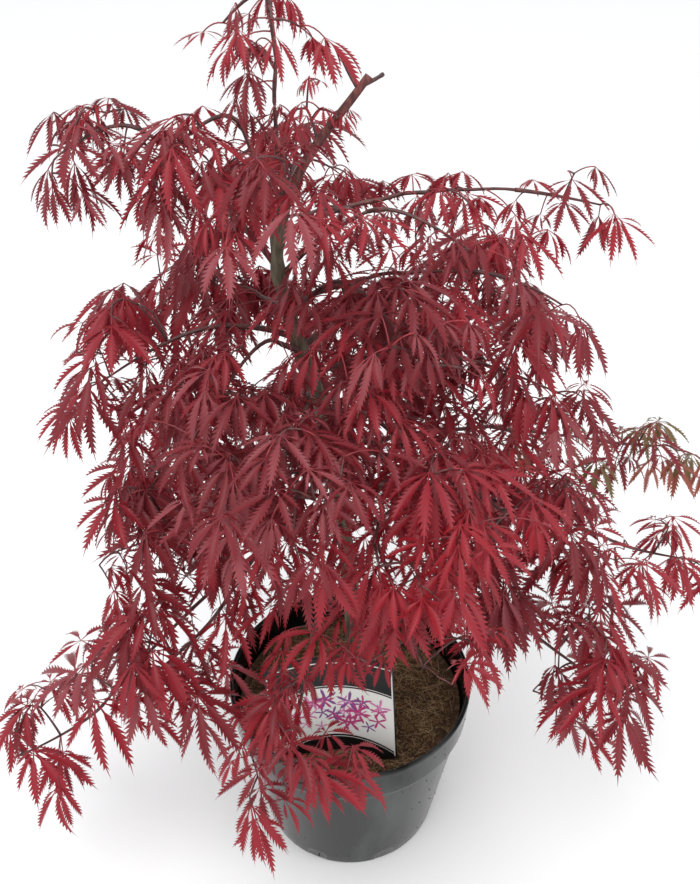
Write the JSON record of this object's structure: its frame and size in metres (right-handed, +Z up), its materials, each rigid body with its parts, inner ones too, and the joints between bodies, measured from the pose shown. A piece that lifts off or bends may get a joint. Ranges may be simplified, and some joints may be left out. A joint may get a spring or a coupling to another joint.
{
  "type": "potted japanese maple",
  "caption": "Weeping laceleaf maple with a thin leaning trunk and layered crimson foliage, growing in a round black nursery pot with a plant label.",
  "frame": {"origin": "middle of the pot's flat underside, which stands on the ground", "axes": "+Z up; -Y towards the side that the label faces, +X to the right as that side is looked at"},
  "size_m": [0.6461, 0.5264, 0.7811],
  "materials": {
    "pot_plastic": "semi-gloss black moulded polypropylene, dusty and splashed near the foot",
    "compost": "loose brown potting compost full of pale coir fibres",
    "label_card": "smooth printed plastic card, dark with a pale panel",
    "trunk_bark": "smooth greenish grey bark with fine pores",
    "bough_bark": "smooth dark red-brown young bark",
    "foliage": "thin crimson leaves with a soft satin upper side"
  },
  "bodies": {
    "root": {"pot": "pot_plastic", "compost": "compost", "plant_label": "label_card", "trunk": "trunk_bark", "bough_top_shoot": "bough_bark", "leaves_top_shoot": "foliage", "leaves_trunk_tip": "foliage", "leaves_crown_front": "foliage", "leaves_crown_back": "foliage", "bough_upper_left_tip": "bough_bark", "leaves_upper_left_tip": "foliage", "bough_upper_left": "bough_bark", "leaves_upper_left": "foliage", "bough_inner_right": "bough_bark", "leaves_inner_right": "foliage", "bough_right_shoulder": "bough_bark", "leaves_right_shoulder": "foliage", "bough_upper_right_tip": "bough_bark", "leaves_upper_right_tip": "foliage", "bough_left_shoulder": "bough_bark", "leaves_left_shoulder": "foliage", "bough_left_inner": "bough_bark", "leaves_left_inner": "foliage", "bough_front_shoulder": "bough_bark", "leaves_front_shoulder": "foliage", "bough_right_side": "bough_bark", "leaves_right_side": "foliage", "bough_right_tip": "bough_bark", "leaves_right_tip": "foliage", "bough_lower_left": "bough_bark", "leaves_lower_left": "foliage", "bough_front_left": "bough_bark", "leaves_front_left": "foliage", "bough_front_right": "bough_bark", "leaves_front_right": "foliage", "bough_lower_right": "bough_bark", "leaves_lower_right": "foliage", "bough_low_right_tip": "bough_bark", "leaves_low_right_tip": "foliage", "bough_right_skirt": "bough_bark", "leaves_right_skirt": "foliage", "bough_left_skirt_tip": "bough_bark", "leaves_left_skirt_tip": "foliage", "bough_left_skirt": "bough_bark", "leaves_left_skirt": "foliage", "bough_pot_skirt": "bough_bark", "leaves_pot_skirt": "foliage", "bough_front_skirt": "bough_bark", "leaves_front_skirt": "foliage", "bough_back_left": "bough_bark", "leaves_back_left": "foliage", "bough_back_right": "bough_bark", "leaves_back_right": "foliage", "bough_low_back_left": "bough_bark", "leaves_low_back_left": "foliage", "bough_low_back": "bough_bark", "leaves_low_back": "foliage", "bough_low_back_right": "bough_bark", "leaves_low_back_right": "foliage"}
  },
  "joints": []
}
